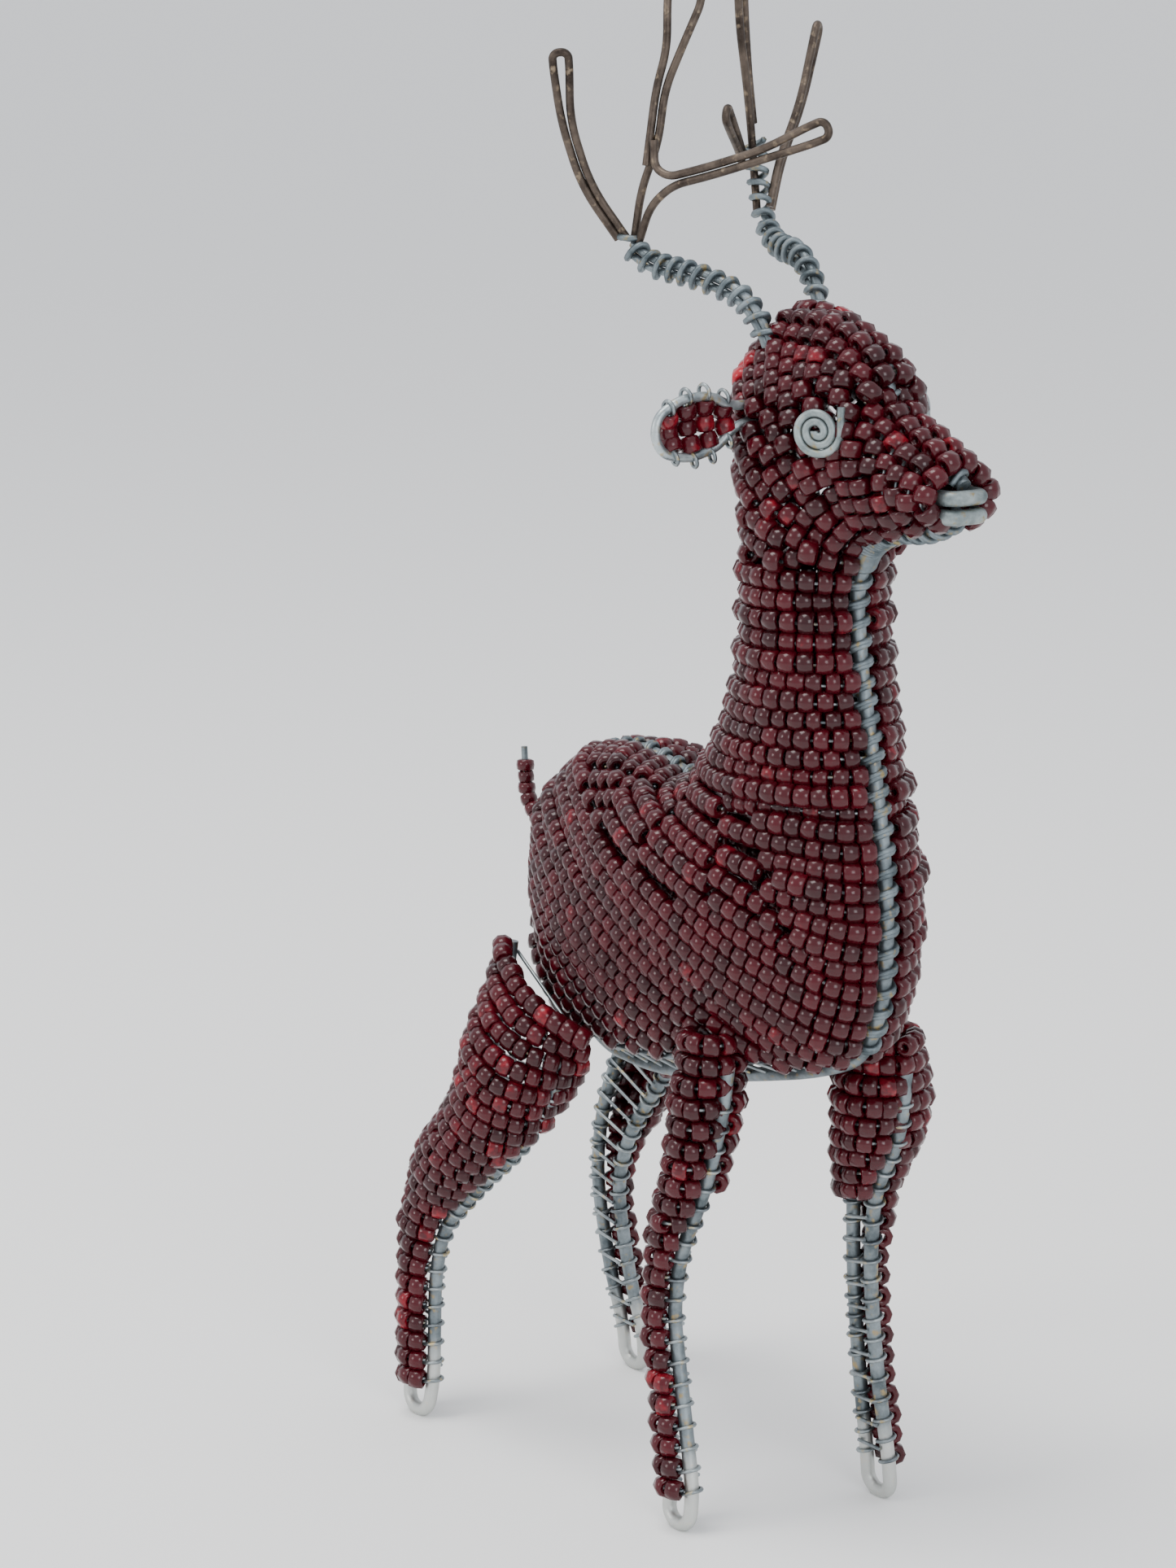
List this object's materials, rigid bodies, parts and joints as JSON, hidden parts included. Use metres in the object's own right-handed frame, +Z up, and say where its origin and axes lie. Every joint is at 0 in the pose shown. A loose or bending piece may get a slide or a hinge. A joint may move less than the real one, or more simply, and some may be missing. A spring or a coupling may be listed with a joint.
{
  "type": "beaded wire stag figure",
  "caption": "Small hollow standing stag made of bent wire and rows of glass seed beads, with bare wire antlers and looped wire feet.",
  "frame": {"origin": "middle of the stag's bounding box in plan, on the surface that it stands on", "axes": "+X the way the stag looks, +Y its left side, +Z up"},
  "size_m": [0.0978, 0.0434, 0.2037],
  "materials": {
    "bead_glass": "dark red glossy glass seed beads, slightly see-through",
    "frame_wire": "dull weathered galvanised wire",
    "binding_wire": "thin galvanised wire",
    "antler_wire": "bare darkened steel wire"
  },
  "bodies": {
    "root": {"chest_seam_turns": "binding_wire", "front_left_leg_beads": "bead_glass", "front_left_leg_rungs": "binding_wire", "front_left_leg_turns": "binding_wire", "front_left_leg_wire": "frame_wire", "front_right_leg_beads": "bead_glass", "front_right_leg_rungs": "binding_wire", "front_right_leg_turns": "binding_wire", "front_right_leg_wire": "frame_wire", "hind_left_leg_beads": "bead_glass", "hind_left_leg_rungs": "binding_wire", "hind_left_leg_turns": "binding_wire", "hind_left_leg_wire": "frame_wire", "hind_right_leg_beads": "bead_glass", "hind_right_leg_rungs": "binding_wire", "hind_right_leg_turns": "binding_wire", "hind_right_leg_wire": "frame_wire", "left_antler_bead_ring": "bead_glass", "left_antler_beam": "antler_wire", "left_antler_inner_tine": "antler_wire", "left_antler_outer_tine": "antler_wire", "left_antler_top_tine": "antler_wire", "left_antler_wrapping": "binding_wire", "left_belly_beads": "bead_glass", "left_belly_rungs": "binding_wire", "left_belly_wire": "frame_wire", "left_ear_beads": "bead_glass", "left_ear_wire": "frame_wire", "left_eye_spiral": "frame_wire", "left_flank_beads": "bead_glass", "left_head_beads": "bead_glass", "left_muzzle_beads": "bead_glass", "left_neck_beads": "bead_glass", "left_shoulder_beads": "bead_glass", "nape_and_spine_wire": "frame_wire", "nose_wire": "frame_wire", "right_antler_beam": "antler_wire", "right_antler_inner_tine": "antler_wire", "right_antler_outer_tine": "antler_wire", "right_antler_top_tine": "antler_wire", "right_antler_wrapping": "binding_wire", "right_belly_beads": "bead_glass", "right_belly_rungs": "binding_wire", "right_belly_wire": "frame_wire", "right_ear_beads": "bead_glass", "right_ear_wire": "frame_wire", "right_eye_spiral": "frame_wire", "right_flank_beads": "bead_glass", "right_head_beads": "bead_glass", "right_muzzle_beads": "bead_glass", "right_neck_beads": "bead_glass", "right_shoulder_beads": "bead_glass", "spine_wire_turns": "binding_wire", "tail_beads": "bead_glass", "tail_wire": "frame_wire", "throat_and_belly_wire": "frame_wire"}
  },
  "joints": []
}
